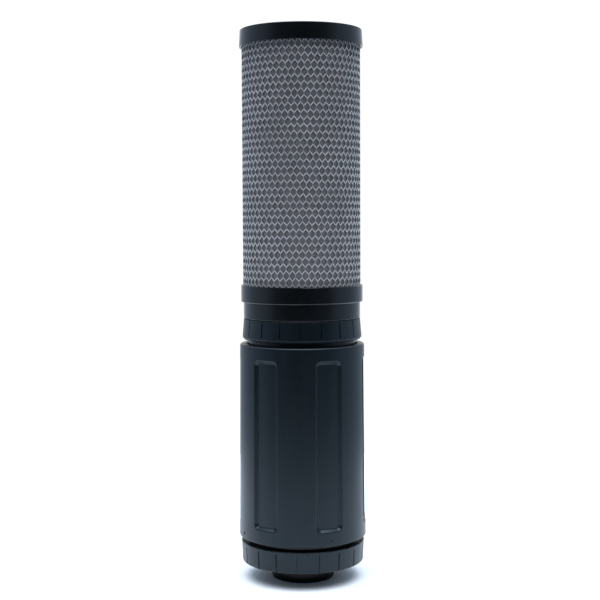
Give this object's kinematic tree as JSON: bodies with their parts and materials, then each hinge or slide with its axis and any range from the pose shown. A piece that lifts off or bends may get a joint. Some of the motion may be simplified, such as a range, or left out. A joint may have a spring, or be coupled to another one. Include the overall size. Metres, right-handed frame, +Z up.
{
  "type": "inline water filter",
  "caption": "Upright filter cartridge: a netted carbon pre-filter plugged onto a sleeved membrane module held by two segmented union nuts, with a round outlet spigot below.",
  "frame": {"origin": "middle of the outlet spigot's lower face, at the lowest point of the part", "axes": "+Z up along the filter's axis, from the outlet spigot to the closed end cap; -Y is the front, with the lower nut's raised index mark close to it; +X to the right seen from the front"},
  "size_m": [0.0652, 0.0652, 0.2796],
  "materials": {
    "gloss_black_plastic": "glossy moulded black",
    "black_plastic": "semi-gloss moulded black",
    "matt_grey_plastic": "fine matt dark blue-grey",
    "pin_plastic": "matt",
    "cage_plastic": "plain moulded",
    "membrane_fibre": "silky white",
    "potting_resin": "cast resin",
    "seal_rubber": "moulded",
    "netting_plastic": "satin extruded",
    "fleece": "needled fleece",
    "carbon": "pressed carbon block",
    "core_plastic": "plain moulded",
    "sealant": "hot-melt"
  },
  "bodies": {
    "module": {"vessel": "black_plastic", "grip_sleeve": "matt_grey_plastic", "sleeve_pins": "pin_plastic", "membrane_cage": "cage_plastic", "fibre_bundle": "membrane_fibre", "fibre_potting": "potting_resin", "potting_o_ring": "seal_rubber", "flow_distributor": "cage_plastic"},
    "inlet_plate": {"inlet_plate": "gloss_black_plastic", "inlet_gasket": "seal_rubber"},
    "upper_union_nut": {"upper_union_nut": "matt_grey_plastic"},
    "element": {"top_end_cap": "gloss_black_plastic", "top_cap_sealant": "sealant", "netting_sleeve": "netting_plastic", "prefilter_fleece": "fleece", "carbon_block": "carbon", "core_tube": "core_plastic", "bottom_cap_sealant": "sealant", "bottom_end_cap": "gloss_black_plastic", "element_o_rings": "seal_rubber"},
    "outlet_plate": {"outlet_plate": "gloss_black_plastic", "outlet_gasket": "seal_rubber", "spigot_o_ring": "seal_rubber"},
    "lower_union_nut": {"lower_union_nut": "matt_grey_plastic"}
  },
  "joints": [
    {"name": "inlet_plate_lift", "type": "slide", "parent": "module", "child": "inlet_plate", "axis": [0, 0, 1], "range_m": [0, 0.0061]},
    {"name": "upper_nut_turn", "type": "hinge", "parent": "inlet_plate", "child": "upper_union_nut", "pos_m": [0, 0, 0.1287], "axis": [0, 0, 1], "range_deg": [0, 720]},
    {"name": "element_pull", "type": "slide", "parent": "inlet_plate", "child": "element", "axis": [0, 0, 1], "range_m": [0, 0.02]},
    {"name": "outlet_plate_drop", "type": "slide", "parent": "module", "child": "outlet_plate", "axis": [0, 0, -1], "range_m": [0, 0.0061]},
    {"name": "lower_nut_turn", "type": "hinge", "parent": "outlet_plate", "child": "lower_union_nut", "pos_m": [0, 0, 0.0144], "axis": [0, 0, -1], "range_deg": [0, 720]}
  ],
  "couplings": [
    {"joint": "inlet_plate_lift", "follows": "upper_nut_turn", "m_per_rad": 0.00047746},
    {"joint": "outlet_plate_drop", "follows": "lower_nut_turn", "m_per_rad": 0.00047746}
  ]
}
